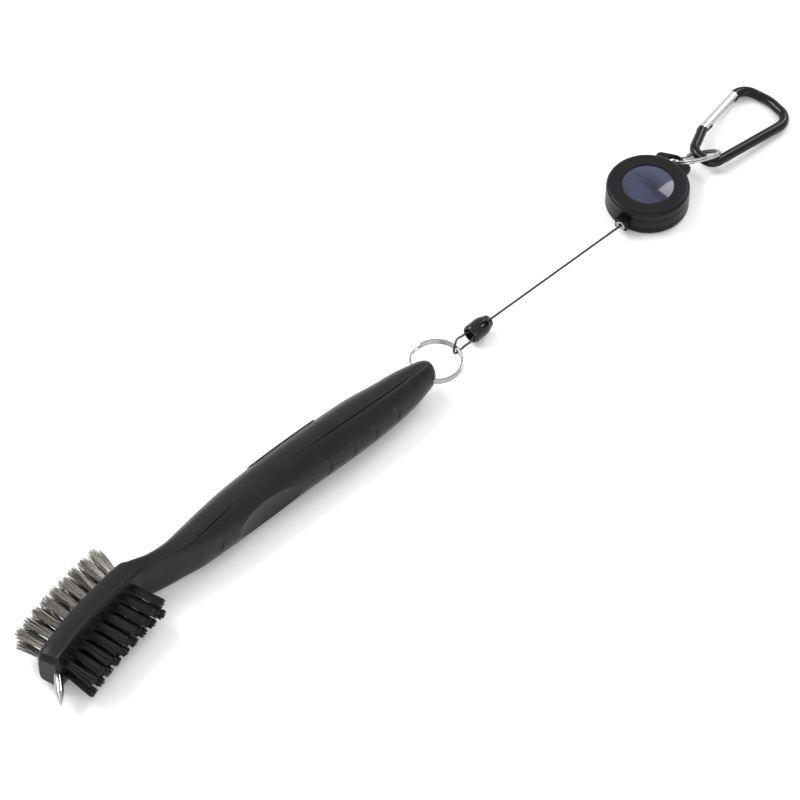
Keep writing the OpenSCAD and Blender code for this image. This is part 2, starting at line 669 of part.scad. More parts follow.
module gate_plunger() {
    from = tongue_r + 0.35;
    color("#b9bcc0") at_origin() gate_frame() translate([from, 0, 0]) rotate([0, 90, 0])
        cylinder(r1 = 0.6, r2 = spring_bore_r - fit, h = 0.5);
    color("#b9bcc0") at_origin() gate_frame() translate([from + 0.5, 0, 0]) rotate([0, 90, 0])
        cylinder(r = spring_bore_r - fit, h = spring_at[0] - from - 0.55);
}
module gate_spring() {
    turns = 7;
    steps = 9;
    wire = 0.18;
    r = spring_bore_r - wire - 0.1;
    last = turns * steps;
    coil = [for (i = [0:last])
        [spring_at[0] + wire + (spring_at[1] - spring_at[0] - 2 * wire) * i / last,
         r * cos(360 * i / steps), r * sin(360 * i / steps)]];
    color("#9ba0a6") at_origin() gate_frame() loft(tube_rings(coil, wire));
}

handle_core();
grip_wire_side();
grip_nylon_side();
badge_plate();
wire_tufts_upper();
wire_tufts_middle();
wire_tufts_lower();
nylon_tufts_upper();
nylon_tufts_middle();
nylon_tufts_lower();
wire_staples();
nylon_staples();
groove_spike();
key_ring();
line_loop();
crimp_sleeve();
cord_cap();
line();
reel_case();
front_cover();
back_cover();
line_grommet();
arbor();
arbor_screw();
power_spring();
line_in_case();
label_disc();
label_dome();
spool();
line_on_spool();
reel_ring();
carabiner_body();
gate_pin();
carabiner_gate();
gate_spring();
gate_plunger();
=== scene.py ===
"""Looks for the club groove brush: bristles, grips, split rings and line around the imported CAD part.

Sizes are in mm in the layout of the part's source, under the same names, and place() turns them into
metres in the frame. Every CAD node gets a finish here, and the new pieces replace the nodes they name.
"""
import json
import math
from types import SimpleNamespace

import bpy
import numpy as np
from mathutils import Matrix, Vector


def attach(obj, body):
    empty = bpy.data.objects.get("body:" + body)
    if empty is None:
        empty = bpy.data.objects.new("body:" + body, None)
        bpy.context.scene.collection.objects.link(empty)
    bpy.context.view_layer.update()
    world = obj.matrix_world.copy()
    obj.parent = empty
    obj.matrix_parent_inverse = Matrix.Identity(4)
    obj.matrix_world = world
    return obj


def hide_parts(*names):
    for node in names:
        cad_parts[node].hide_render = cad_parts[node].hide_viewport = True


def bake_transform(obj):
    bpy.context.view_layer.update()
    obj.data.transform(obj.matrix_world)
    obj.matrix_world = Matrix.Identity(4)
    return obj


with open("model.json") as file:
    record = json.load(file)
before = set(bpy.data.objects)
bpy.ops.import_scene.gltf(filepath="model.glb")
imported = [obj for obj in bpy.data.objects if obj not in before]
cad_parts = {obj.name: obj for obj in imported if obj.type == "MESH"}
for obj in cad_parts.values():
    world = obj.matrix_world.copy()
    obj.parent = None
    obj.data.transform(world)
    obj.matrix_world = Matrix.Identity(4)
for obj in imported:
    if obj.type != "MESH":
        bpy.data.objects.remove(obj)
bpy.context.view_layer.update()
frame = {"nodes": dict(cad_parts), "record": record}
nodes = frame["nodes"]

MM = 0.001
CENTRE = np.array([122.46, -0.51, 0.0])  # moves the layout to the part's origin
MID_Z = 9.65                             # the handle's middle plane


def place(p):
    """A point or points of the layout, in mm, as metres in the frame."""
    return (np.asarray(p, float) + CENTRE) * MM


def rot_x(deg):
    c, s = math.cos(math.radians(deg)), math.sin(math.radians(deg))
    return np.array([[1, 0, 0], [0, c, -s], [0, s, c]])


def rot_y(deg):
    c, s = math.cos(math.radians(deg)), math.sin(math.radians(deg))
    return np.array([[c, 0, s], [0, 1, 0], [-s, 0, c]])


def rot_z(deg):
    c, s = math.cos(math.radians(deg)), math.sin(math.radians(deg))
    return np.array([[c, -s, 0], [s, c, 0], [0, 0, 1.0]])


def fade(distance, length):
    """Rises from 0 to 1 over a length, and stays at 0 before it and at 1 after it."""
    return min(1.0, max(0.0, distance / length))


# ---- camera ----
def make_camera():
    azimuth = math.radians(42.85)
    elevation = math.radians(51.0)
    distance = 1.4333
    aim = Vector((-0.01839, -0.00371, 0.0096))
    right = Vector((math.cos(azimuth), -math.sin(azimuth), 0))
    ahead = Vector((math.sin(azimuth), math.cos(azimuth), 0))
    look = ahead * math.cos(elevation) - Vector((0, 0, math.sin(elevation)))
    up = ahead * math.sin(elevation) + Vector((0, 0, math.cos(elevation)))
    cam = bpy.data.objects.new("camera", bpy.data.cameras.new("camera"))
    bpy.context.scene.collection.objects.link(cam)
    cam.data.lens = 177.17
    cam.data.sensor_width = 36
    cam.data.clip_start = 0.05
    matrix = Matrix((right, up, -look)).transposed().to_4x4()
    matrix.translation = aim - look * distance
    cam.matrix_world = matrix
    bpy.context.scene.camera = cam


make_camera()

# ---- mesh helpers ----
# An edge that turns by more degrees than this stays crisp
CREASE = 40
GRIP_CREASE = 24        # on the grips and on what is cut
MARKED_CREASE = 11      # on the side with the finger marks


def crease(mesh, angle):
    """Smooth shading, with an edge kept crisp where it turns by more than the angle."""
    mesh.polygons.foreach_set("use_smooth", [True] * len(mesh.polygons))
    mesh.set_sharp_from_angle(angle=math.radians(angle))


def new_object(name, verts, faces, angle=CREASE):
    mesh = bpy.data.meshes.new(name)
    mesh.from_pydata([tuple(v) for v in verts], [], faces)
    mesh.validate()
    mesh.update()
    crease(mesh, angle)
    obj = bpy.data.objects.new(name, mesh)
    bpy.context.scene.collection.objects.link(obj)
    return obj


def skin(rings, caps=True, start=0):
    """Faces over rings of equal length, whose points follow one another from vertex number start."""
    n = len(rings[0])
    faces = []
    for i in range(len(rings) - 1):
        for j in range(n):
            a = start + i * n + j
            b = start + i * n + (j + 1) % n
            faces.append((a, a + n, b + n, b))
    if caps:
        first = range(start, start + n)
        last = range(start + (len(rings) - 1) * n, start + len(rings) * n)
        faces += [tuple(first), tuple(reversed(last))]
    return faces


def loft(name, *bodies):
    """One object from closed bodies, each a list of rings in the layout."""
    verts, faces = [], []
    for rings in bodies:
        faces += skin(rings, start=len(verts))
        verts += [p for ring in rings for p in place(ring)]
    return new_object(name, verts, faces)


def tube_rings(path, radius, sides):
    """Rings round a path; the radius is one number, or one for each point of the path."""
    path = np.asarray(path, float)
    along = np.gradient(path, axis=0)
    along /= np.linalg.norm(along, axis=1)[:, None]
    odd = np.array([0.13, 0.2, 1.0])    # a direction that no tube here follows
    turn = np.arange(sides) * 2 * math.pi / sides
    rings = []
    for p, d, r in zip(path, along, np.broadcast_to(radius, len(path))):
        u = np.cross(d, odd)
        u /= np.linalg.norm(u)
        v = np.cross(u, d)
        rings.append(p + r * (np.cos(turn)[:, None] * u + np.sin(turn)[:, None] * v))
    return rings


def smooth(a, b, c, d, t):
    """A Catmull-Rom curve from b to c, with a before them and d after them."""
    return b + 0.5 * t * (c - a + t * (2 * a - 5 * b + 4 * c - d + t * (3 * (b - c) + d - a)))


def smooth_path(points, steps):
    p = np.asarray(points, float)
    q = np.vstack([2 * p[0] - p[1], p, 2 * p[-1] - p[-2]])
    out = [smooth(*q[i:i + 4], k / steps) for i in range(len(q) - 3) for k in range(steps)]
    return np.array([*out, p[-1]])


# ---- layout, repeated from the part's source ----
TAIL_X = -122.8
HOLE_X = -127.4         # the hole through the tail
HOLE_Y = -0.6
HEAD_X = -262.0         # where the head starts
HEAD_Y = 1.9
HEAD_L = 51.5           # from there to the nose, along its curve
HEAD_BEND = 12.7        # degrees between handle and head
HEAD_CURL = 17.0        # the head curves to the nylon side by this angle
HEAD_R = HEAD_L * 180 / (math.pi * HEAD_CURL)

RING_WIRE = 1.2         # radial thickness of a split ring
KEY_RING_D = 20.3
KEY_RING_H = 2.2
KEY_RING_Y = -0.5       # where it passes through the hole
KEY_RING_TURN = 10      # the ring lies turned this much about its hole
KEY_RING_R = (KEY_RING_D - RING_WIRE) / 2
RING_INSET = 0.6
LOOP_TURN = -5          # where the line's loop goes round the key ring

LINE_D = 0.9
LINE_Y = 5.1
LINE_Z = 4.9
LINE_OUT = 68.6         # drawn out between the cap and the reel
CAP_X = -88.0           # the cap's end face, where the line enters it
CAP_YAW = 3.0
CAP_L = 10.4
SLEEVE = (2.4, 5.8)     # the crimp sleeve's ends, along the cap from its line end

REEL_YAW = 12.5
NOZZLE_OUT = 19.4       # from the reel's centre to the grommet's face
LUG_R = 18.7            # from the reel's centre to the lug's hole
LUG_MID_Z = 6.2
REEL_RING_D = 19.3
REEL_RING_H = 1.7
REEL_RING_TILT = 41
RING_LEAD = -31         # direction from the lug's hole to the ring's centre
RING_RISE = 6.5


def head_yaw(s):
    """The head's direction at a distance s from where it starts, along its curve."""
    return HEAD_BEND + HEAD_CURL * (s / HEAD_L - 0.5)


def head_point(s):
    a, b = math.radians(head_yaw(0)), math.radians(head_yaw(s))
    return [HEAD_X + HEAD_R * (math.sin(a) - math.sin(b)), HEAD_Y + HEAD_R * (math.cos(b) - math.cos(a))]


def from_point(x, y, z, deg, out):
    """The place that lies a distance out from a point, in a direction level with the table."""
    return np.array([x + out * math.cos(math.radians(deg)), y + out * math.sin(math.radians(deg)), z])


key_ring_at = from_point(HOLE_X, KEY_RING_Y, MID_Z, KEY_RING_TURN, KEY_RING_R - RING_INSET)
loop_at = from_point(*key_ring_at, LOOP_TURN, KEY_RING_R)
reel_at = from_point(CAP_X + LINE_OUT, LINE_Y, 0, REEL_YAW, NOZZLE_OUT)
lug_at = from_point(*reel_at[:2], LUG_MID_Z, REEL_YAW, LUG_R)


# ---- materials ----
PATCH_SCALE = 60                # of the colour patches, per metre
PATCH_DETAIL = 5
GRAIN_DETAIL = 3
BUMP_STRENGTH = 0.6
SMOOTHEST = 0.02
WORN_EDGE = (0.5, 0.62)         # pointiness from which an edge is worn, and where it is fully worn
BRAID_SCALE = 900
BRAID_DEPTH = 0.06              # mm
# Sockets of a Mix node that mixes colours
MIX_FACTOR = 0
MIX_A = 6
MIX_B = 7
MIX_RESULT = 2


def material(name, color, second, rough, metallic=0.0, grain=900.0, bump=0.02, vary=0.5, coat=0.0,
             coat_rough=0.1, spread=0.08, specular=0.5, stretch=(1, 1, 1), sheen=0.0, scuff=0.0):
    """A procedural finish: two close colours in patches, and a fine grain in roughness and bump.

    grain is the grain's scale per metre, bump its depth in mm, vary how softly the colours meet, spread how
    far the roughness strays, stretch the pattern's scale along x, y and z, and scuff what worn edges add.
    """
    m = bpy.data.materials.new(name)
    m.use_nodes = True
    tree = m.node_tree
    shader = tree.nodes["Principled BSDF"]
    link = tree.links.new
    coords = tree.nodes.new("ShaderNodeTexCoord")
    mapping = tree.nodes.new("ShaderNodeMapping")
    mapping.inputs["Scale"].default_value = stretch
    link(coords.outputs["Object"], mapping.inputs["Vector"])
    patches = tree.nodes.new("ShaderNodeTexNoise")
    patches.inputs["Scale"].default_value = PATCH_SCALE
    patches.inputs["Detail"].default_value = PATCH_DETAIL
    fine = tree.nodes.new("ShaderNodeTexNoise")
    fine.inputs["Scale"].default_value = grain
    fine.inputs["Detail"].default_value = GRAIN_DETAIL
    link(mapping.outputs["Vector"], patches.inputs["Vector"])
    link(mapping.outputs["Vector"], fine.inputs["Vector"])

    mix = tree.nodes.new("ShaderNodeMix")
    mix.data_type = "RGBA"
    mix.inputs[MIX_A].default_value = (*color, 1)
    mix.inputs[MIX_B].default_value = (*second, 1)
    contrast = tree.nodes.new("ShaderNodeMapRange")
    contrast.inputs["From Min"].default_value = 0.5 - vary / 2
    contrast.inputs["From Max"].default_value = 0.5 + vary / 2
    link(patches.outputs["Fac"], contrast.inputs["Value"])
    link(contrast.outputs["Result"], mix.inputs[MIX_FACTOR])
    link(mix.outputs[MIX_RESULT], shader.inputs["Base Color"])

    roughness = tree.nodes.new("ShaderNodeMapRange")
    roughness.inputs["To Min"].default_value = max(SMOOTHEST, rough - spread)
    roughness.inputs["To Max"].default_value = rough + spread
    link(fine.outputs["Fac"], roughness.inputs["Value"])
    rough_out = roughness.outputs["Result"]
    if scuff:
        edge = tree.nodes.new("ShaderNodeNewGeometry")
        wear = tree.nodes.new("ShaderNodeMapRange")
        wear.inputs["From Min"].default_value = WORN_EDGE[0]
        wear.inputs["From Max"].default_value = WORN_EDGE[1]
        wear.inputs["To Max"].default_value = scuff
        link(edge.outputs["Pointiness"], wear.inputs["Value"])
        add = tree.nodes.new("ShaderNodeMath")
        link(rough_out, add.inputs[0])
        link(wear.outputs["Result"], add.inputs[1])
        rough_out = add.outputs["Value"]
    link(rough_out, shader.inputs["Roughness"])

    bumps = tree.nodes.new("ShaderNodeBump")
    bumps.inputs["Strength"].default_value = BUMP_STRENGTH
    bumps.inputs["Distance"].default_value = bump * MM
    link(fine.outputs["Fac"], bumps.inputs["Height"])
    link(bumps.outputs["Normal"], shader.inputs["Normal"])

    shader.inputs["Metallic"].default_value = metallic
    shader.inputs["Specular IOR Level"].default_value = specular
    shader.inputs["Coat Weight"].default_value = coat
    shader.inputs["Coat Roughness"].default_value = coat_rough
    shader.inputs["Sheen Weight"].default_value = sheen
    return m


def node_of(m, kind):
    return next(n for n in m.node_tree.nodes if n.type == kind)


def strands(name, dark, light, rough, metallic, specular=0.5):
    """A finish for bristles, in which each takes its own random tone between dark and light; part of that
    spread is painted light and shade, as said where the finishes are made.
    """
    m = material(name, dark, light, rough, metallic, grain=2500, bump=0.01, specular=specular)
    geometry = m.node_tree.nodes.new("ShaderNodeNewGeometry")
    m.node_tree.links.new(geometry.outputs["Random Per Island"], node_of(m, "MIX").inputs[MIX_FACTOR])
    return m


def braid(name, color, second):
    """A finish for the line, with slanting bands for its braid."""
    m = material(name, color, second, 0.62, grain=3000, bump=BRAID_DEPTH, sheen=0.15)
    wave = m.node_tree.nodes.new("ShaderNodeTexWave")
    wave.wave_type = "BANDS"
    wave.bands_direction = "DIAGONAL"
    wave.inputs["Scale"].default_value = BRAID_SCALE
    wave.inputs["Distortion"].default_value = 1.5
    m.node_tree.links.new(node_of(m, "TEX_COORD").outputs["Object"], wave.inputs["Vector"])
    m.node_tree.links.new(wave.outputs["Fac"], node_of(m, "BUMP").inputs["Height"])
    return m


MATERIALS = {
    "core_plastic": material(
        "core_satin", (0.0035, 0.0033, 0.005), (0.007, 0.0067, 0.0094), 0.34,
        grain=1400, bump=0.02, specular=0.22, scuff=0.05),
    "grip_rubber": material(
        "grip_soft", (0.003, 0.0028, 0.0044), (0.0068, 0.0065, 0.009), 0.33,
        grain=1800, bump=0.03, specular=0.25, sheen=0.01),
    "badge_plastic": material(
        "badge_satin", (0.007, 0.007, 0.0085), (0.011, 0.011, 0.013), 0.33,
        grain=1200, bump=0.015, specular=0.3),
    # Wire bristles: the near-black end of their random tones is painted shade, for the shade among and
    # beneath the tufts; the grey-beige end is the wire's colour
    "steel_wire": strands("wire_bristle", (0.004, 0.0037, 0.0032), (0.42, 0.395, 0.365), 0.26, 0.9),
    # Nylon bristles: the grey end of their random tones is a painted highlight, for the light along the
    # strands; the near-black end is the nylon's colour
    "nylon": strands("nylon_bristle", (0.001, 0.001, 0.0014), (0.022, 0.022, 0.027), 0.24, 0.0, 0.4),
    "plain_steel": material(
        "plain_steel", (0.36, 0.36, 0.365), (0.45, 0.45, 0.455), 0.3, 1.0, grain=700, bump=0.01),
    "polished_steel": material(
        "spike_polish", (0.34, 0.34, 0.345), (0.46, 0.46, 0.47), 0.18, 1.0,
        grain=500, bump=0.001, stretch=(1, 6, 6), spread=0.04),
    "ring_chrome": material(
        "ring_nickel", (0.34, 0.34, 0.34), (0.46, 0.46, 0.465), 0.2, 1.0,
        grain=600, bump=0.004, spread=0.05),
    "black_cord": braid("cord_black", (0.008, 0.008, 0.009), (0.02, 0.02, 0.022)),
    "gloss_plastic": material(
        "cap_gloss", (0.003, 0.003, 0.004), (0.006, 0.006, 0.0075), 0.2,
        grain=500, bump=0.004, specular=0.2, coat=0.2, coat_rough=0.06, spread=0.04),
    "case_plastic": material(
        "case_satin", (0.003, 0.003, 0.004), (0.006, 0.006, 0.0078), 0.34,
        grain=1500, bump=0.02, specular=0.17, scuff=0.05),
    "spool_plastic": material("spool_plastic", (0.05, 0.05, 0.055), (0.06, 0.06, 0.065), 0.5),
    "label_navy": material(
        "label_print", (0.02, 0.022, 0.06), (0.075, 0.08, 0.16), 0.4,
        grain=300, bump=0.004, stretch=(0.5, 3, 1)),
    "clear_dome": material(
        "dome_resin", (0.008, 0.0085, 0.026), (0.032, 0.034, 0.078), 0.1,
        grain=260, bump=0.0, vary=0.3, specular=0.3, coat=0.4, coat_rough=0.02, spread=0.03,
        stretch=(2.4, 0.5, 1)),
    "black_anodised": material(
        "anodised_black", (0.0015, 0.0015, 0.0018), (0.0035, 0.0035, 0.0042), 0.16,
        grain=900, bump=0.004, specular=0.2, coat=0.14, coat_rough=0.06, spread=0.05),
    "bright_aluminium": material(
        "gate_aluminium", (0.56, 0.56, 0.565), (0.68, 0.68, 0.685), 0.26, 1.0,
        grain=900, bump=0.008, stretch=(1, 5, 5)),
}
for part in frame["record"]["subparts"]:
    obj = nodes[part["node"]]
    obj.data.materials.clear()
    obj.data.materials.append(MATERIALS[part["material_slot"]])


def finish_piece(obj, slot, node, body=None):
    """Gives a piece its material, the node that it replaces and its body; a blended piece has no body."""
    obj.data.materials.append(MATERIALS[slot])
    if body:
        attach(obj, body)
    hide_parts(node)


# ---- line ----
LINE_SIDES = 14
LINE_POINTS = 49        # over the part that is drawn out


def in_cap(z, across):
    """A point in the cord cap, along it from its line end and across it."""
    c, s = math.cos(math.radians(CAP_YAW)), math.sin(math.radians(CAP_YAW))
    return [CAP_X - z * c - across * s, LINE_Y - z * s + across * c, LINE_Z]


def on_loop(out, across, z):
    """A point by the loop's place on the key ring: outward from the ring's wire, across, and its height."""
    x, y, _ = loop_at + rot_z(LOOP_TURN) @ [out, across, 0]
    return [x, y, z]


# Out of the sleeve, over the key ring, down inside it and back under it
LOOP = [
    in_cap(SLEEVE[1], 0.5), in_cap(CAP_L - 2.4, 1.2), in_cap(CAP_L, 1.8),
    on_loop(6.9, 5.5, 6.9), on_loop(3.8, 4.4, 8.7), on_loop(1.5, 2.5, 10.7),
    on_loop(0.2, 1.2, 11.6), on_loop(-1, 0.4, 11.1), on_loop(-1.5, 0, 9.6),
    on_loop(-1, -0.2, 8.1), on_loop(0.4, 0, 7.5), on_loop(2.4, 0.6, 7.1),
    on_loop(5, 1.5, 6.4), on_loop(8.1, 2.3, 5.5),
    in_cap(CAP_L, -1.8), in_cap(CAP_L - 2.4, -1.2), in_cap(SLEEVE[1], -0.5),
]
# From the sleeve in the cap to the reel
LINE = [in_cap(SLEEVE[0], 0), in_cap(1.5, 0)] + [
    [x, LINE_Y, LINE_Z] for x in np.linspace(CAP_X + 0.5, CAP_X + LINE_OUT - 0.2, LINE_POINTS)]

loop = loft("loop_cord", tube_rings(smooth_path(LOOP, 8), LINE_D / 2, LINE_SIDES))
finish_piece(loop, "black_cord", "line_loop", "line_end")
line = loft("line_cord", tube_rings(LINE, LINE_D / 2, LINE_SIDES))
finish_piece(line, "black_cord", "line")
line_path = place(LINE)
tuple(place([CAP_X, LINE_Y, LINE_Z]))
tuple(place([CAP_X + LINE_OUT - 0.3, LINE_Y, LINE_Z]))
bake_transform(line)

# ---- what differs between the wire side and the nylon side ----
# Columns of a station
X, Y, YAW, TO_WIRE, TO_NYLON, RIDGE, HALF_Z, WIRE_ROUND, NYLON_ROUND = range(9)

# groove is the share of SEAM_DEPTH that the grip's edge drops by. face, first, lift, stagger, in_row, lean
# and out place the tufts as in the part's source. In a tuft, stray is how far a tip leaves its place, bow how
# far a bristle bends, ragged how much shorter it may be, and taper its tip's thickness against its root's.
WIRE = SimpleNamespace(
    sign=-1, width=TO_WIRE, roundness=WIRE_ROUND, groove=0.6,
    face=-4.6, first=8.3, lift=2.0, stagger=-0.5, in_row=(9, 9, 9),
    lean=lambda s: -11.4 + 0.165 * s, out=11.6,
    bristles=72, thick=0.2, root_r=1.2, tip_r=2.0, stray=0.2, bow=0.12, ragged=0.5, taper=0.8, seed=40,
    name="wires", slot="steel_wire", node="wire_tufts")
NYLON = SimpleNamespace(
    sign=1, width=TO_NYLON, roundness=NYLON_ROUND, groove=1.0,
    face=4.8, first=7.2, lift=0.0, stagger=0.5, in_row=(9, 7, 9),
    lean=lambda s: HEAD_BEND - head_yaw(s) + 2.3 - 0.19 * s, out=13.0,
    bristles=64, thick=0.28, root_r=1.27, tip_r=1.86, stray=0.07, bow=0.05, ragged=0.3, taper=0.95, seed=50,
    name="nylon", slot="nylon", node="nylon_tufts")


# ---- sections of the handle ----
def head_station(s, *rest):
    return [*head_point(s), head_yaw(s), *rest]


STATIONS = np.array([
    [TAIL_X, -0.5, 0, 2.2, 1.8, 0, 3.2, 2, 2],
    [TAIL_X - 0.7, -0.5, 0, 3.6, 3.2, 0.2, 4.9, 2, 2],
    [TAIL_X - 2.4, -0.6, 0, 4.7, 4.5, 0.6, 6.2, 2, 1.9],
    [TAIL_X - 6, -0.6, 0, 5.6, 5.6, 1, 7.1, 2.1, 1.8],
    [-137, -0.8, 0, 7.2, 7.4, 1.5, 8.2, 2.2, 1.7],
    [-147, -0.8, 0, 8.2, 8.6, 2, 8.9, 2.2, 1.7],
    [-158, -0.5, 0, 9.3, 9.6, 2.3, 9.4, 2.2, 1.7],
    [-172, -0.2, 0, 9.5, 10, 2.4, 9.6, 2.2, 1.7],
    [-190, 0, 0, 9.4, 9.8, 2.4, 9.6, 2.2, 1.8],
    [-206, -0.2, 0, 9.2, 9.6, 2.5, 9.5, 2.2, 1.9],
    [-219, -0.6, 0, 8.8, 9.3, 2.6, 9.3, 2.2, 1.9],
    [-230, -1.1, 0, 7.9, 8.6, 3.2, 9, 2.3, 1.9],
    [-240, -1.3, 1, 6.4, 7.4, 4, 8.6, 2.5, 2],
    [-249, -0.9, 2, 4.2, 5.7, 3.9, 8.4, 3, 2],
    [-257, 0.1, 3, 2.9, 4.9, 3.7, 8.5, 4, 2],
    head_station(2, 3.1, 5.6, 3.7, 8.6, 5, 2.2),
    head_station(7, 4.8, 5.6, 3.7, 8.6, 5, 2.2),
    head_station(30, 4.9, 5.2, 3.7, 8.6, 5, 2.2),
    head_station(HEAD_L - 4, 4.9, 4.7, 3.7, 8.6, 5, 2.2),
    head_station(HEAD_L - 1.4, 4.5, 4.3, 3.5, 7.8, 5, 2.2),
    head_station(HEAD_L, 3.6, 3.4, 2.8, 6.0, 5, 2.2),
])
GRIP = (4, 12)          # stations between which the soft grip lies
GRIP_T = 2.8
FIT = 0.05              # play of a press fit
# How far the closest points stand from the ridge; on a side narrower than FULL_SIDE they stand closer
BESIDE_RIDGE = np.array([0, 0.12, 0.24, 0.38, 0.6, 0.9, 1.3, 1.8])
FULL_SIDE = 4
LINE_HALF_W = 0.34      # of the fine line along both ridges


def between(first, last, steps):
    """Smooth stations, with steps per gap as a number or a list."""
    out = []
    for i, n in zip(range(first, last), np.broadcast_to(steps, last - first)):
        near = [STATIONS[min(max(k, 0), len(STATIONS) - 1)] for k in range(i - 1, i + 3)]
        out += [smooth(*near, k / n) for k in range(n)]
    return [*out, STATIONS[last]]


def half_section(s, side, grow, points, gap=0.0):
    """Half a section from its top to its bottom, as across and height, starting a gap beside the ridge.

    The points stand close together beside the ridge, where the seam and the fine line are.
    """
    edge = side.sign * (s[side.width] + grow)
    e = s[side.roundness]
    wide = abs(edge - s[RIDGE])
    near = gap + BESIDE_RIDGE * min(1, wide / FULL_SIDE)
    a = np.arcsin((near / wide) ** (e / 2))
    a = np.concatenate([a, a[-1] + (math.pi / 2 - a[-1]) * np.arange(1, points) / points])
    across = s[RIDGE] + (edge - s[RIDGE]) * np.sin(a) ** (2 / e)
    height = (s[HALF_Z] + grow) * np.cos(a) ** (2 / e)
    top = np.stack([across, height], 1)
    return np.vstack([top, [[edge, 0]], (top * [1, -1])[::-1]])


def set_down(s, p):
    """Points of a section, as across and height, at their station in the layout."""
    a = math.radians(s[YAW])
    return np.stack([s[X] + p[:, 0] * math.sin(a), s[Y] - p[:, 0] * math.cos(a), MID_Z + p[:, 1]], 1)


def full_ring(s, grow, points, line_h=0.0):
    """A whole section, with a fine line along its top and bottom ridges, raised or sunk by a height."""
    wire, nylon = half_section(s, WIRE, grow, points), half_section(s, NYLON, grow, points)
    p = np.vstack([wire, nylon[-2:0:-1]])
    on_line = np.exp(-((p[:, 0] - s[RIDGE]) / LINE_HALF_W) ** 4) * (abs(p[:, 1]) > 0.5 * s[HALF_Z])
    p[:, 1] += np.sign(p[:, 1]) * line_h * on_line
    return set_down(s, p)


# ---- handle ----
HOLE_D = 4.4
SINK = 2.9              # where the hole's countersinks start on each side
MOUTH = (6.6, 9.0)      # radius of a countersink's mouth, and its distance from the middle
HOLE_SIDES = 40
TUFT_PITCH = 4.8
ROW_PITCH = 3.3
TUFT_HOLE_D = 2.9
TUFT_HOLE_DEPTH = 3.8
TUFT_HOLE_PROUD = 1.6   # how far the cutter stands out of the head
TUFT_HOLE_SIDES = 20
LEVELS = ("lower", "middle", "upper")
# The fine line along both ridges: a groove on the tail and a raised line on the head
TAIL_LINE_H = -0.3
TAIL_LINE_X = TAIL_X - 1.5
HEAD_LINE_H = 0.36
HEAD_LINE_X = -236


def tail_line(x):
    """Height of the line on the tail, where it fades out before the end."""
    return TAIL_LINE_H * fade(TAIL_LINE_X - x, 3)


def head_line(x):
    """Height of the line on the head, where it starts to rise at the end of the grip."""
    return HEAD_LINE_H * fade(HEAD_LINE_X - x, 6)


def tufts(side, row):
    """Root and direction of each tuft in a row; the middle row is staggered."""
    step = TUFT_PITCH / (1 - side.face / HEAD_R)
    stagger = side.stagger if LEVELS[row] == "middle" else 0
    for i in range(side.in_row[row]):
        s = side.first + step * (i + stagger)
        turn = rot_z(180 + head_yaw(s))
        middle = np.array([*head_point(s), MID_Z])
        root = middle + turn @ np.array([0, side.face, (row - 1) * ROW_PITCH + side.lift])
        yield root, turn @ rot_z(side.lean(s)) @ np.array([0, side.sign, 0])


def cut(obj, cutter):
    """Cuts one object by another, which is then deleted."""
    mod = obj.modifiers.new("cut", "BOOLEAN")
    mod.object = cutter
    mod.operation = "DIFFERENCE"
    mod.solver = "EXACT"
    graph = bpy.context.evaluated_depsgraph_get()
    whole = obj.data
    obj.data = bpy.data.meshes.new_from_object(obj.evaluated_get(graph))
    obj.modifiers.clear()
    bpy.data.meshes.remove(whole)
    bpy.data.objects.remove(cutter)
    crease(obj.data, GRIP_CREASE)


def ring_hole_cutter():
    profile = [(MOUTH[0], -MOUTH[1]), (HOLE_D / 2, -SINK), (HOLE_D / 2, SINK), MOUTH]
    a = np.arange(HOLE_SIDES) * 2 * math.pi / HOLE_SIDES
    rings = [np.stack([r * np.cos(a), r * np.sin(a), np.full(HOLE_SIDES, z)], 1) for r, z in profile]
    return loft("ring_hole_cutter", [ring @ rot_x(90).T + [HOLE_X, HOLE_Y, MID_Z] for ring in rings])


def tuft_hole_cutter():
    holes = []
    for side in (WIRE, NYLON):
        for row in range(len(LEVELS)):
            for root, axis in tufts(side, row):
                ends = [root - axis * TUFT_HOLE_DEPTH, root + axis * TUFT_HOLE_PROUD]
                holes.append(tube_rings(ends, TUFT_HOLE_D / 2, TUFT_HOLE_SIDES))
    return loft("tuft_hole_cutter", *holes)


def make_core():
    core = loft(
        "handle_moulding",
        [full_ring(s, 0, points=24, line_h=tail_line(s[X])) for s in between(0, GRIP[0], 8)],
        [full_ring(s, -GRIP_T, points=10) for s in between(*GRIP, 3)],
        [full_ring(s, 0, points=30, line_h=head_line(s[X]))
         for s in between(GRIP[1], len(STATIONS) - 1, [6, 6, 6, 6, 14, 10, 4, 4])])
    cut(core, ring_hole_cutter())
    cut(core, tuft_hole_cutter())
    finish_piece(core, "core_plastic", "handle_core", "brush")


make_core()

# ---- soft grip: two mouldings that meet in a seam groove ----
# Finger marks: crescents, as the x and height of their middle, and their radius
MARKS = [(-146.5, 2.2, 3.4), (-158, 2.0, 3.6), (-169, 1.5, 3.8), (-180.5, 1.2, 4.2), (-232, 0.8, 3.4)]
MARK_DEPTH = 0.5
MARK_HALF_W = 0.42
MARK_ARC = 62           # degrees to each side over which a crescent fades out
MARKS_FROM_SEAM = 1.2
SCOOP_R = 58.0          # the thumb scoop is cut by a sphere
SCOOP = np.array([-209.0, -9.8 - SCOOP_R + 2.0, MID_Z])
SEAM_HALF = (0.01, 0.12)    # half the gap between the mouldings, where it is closed and where it is open
SEAM_CLOSED = (-218, -196)  # where along the grip the seam is closed
SEAM_FADE = (8, 22)     # length over which it opens beyond each end of that
SEAM_DEPTH = 0.42
SEAM_ROUND = 0.4        # how fast the groove's edge rises away from the seam
END_GAP = 0.01          # between the grip's ends and the core
BADGE = (-204.0, -172.0, 6.0, 3.0)  # from, to, half height, corner radius
BADGE_Y = (8.2, 14.0)   # the pocket's floor, and a place outside the grip


def seam_open(x):
    """The groove is open over the tail half and at the neck, and closes to a fine line between."""
    return max(fade(SEAM_CLOSED[0] - x, SEAM_FADE[0]), fade(x - SEAM_CLOSED[1], SEAM_FADE[1]))


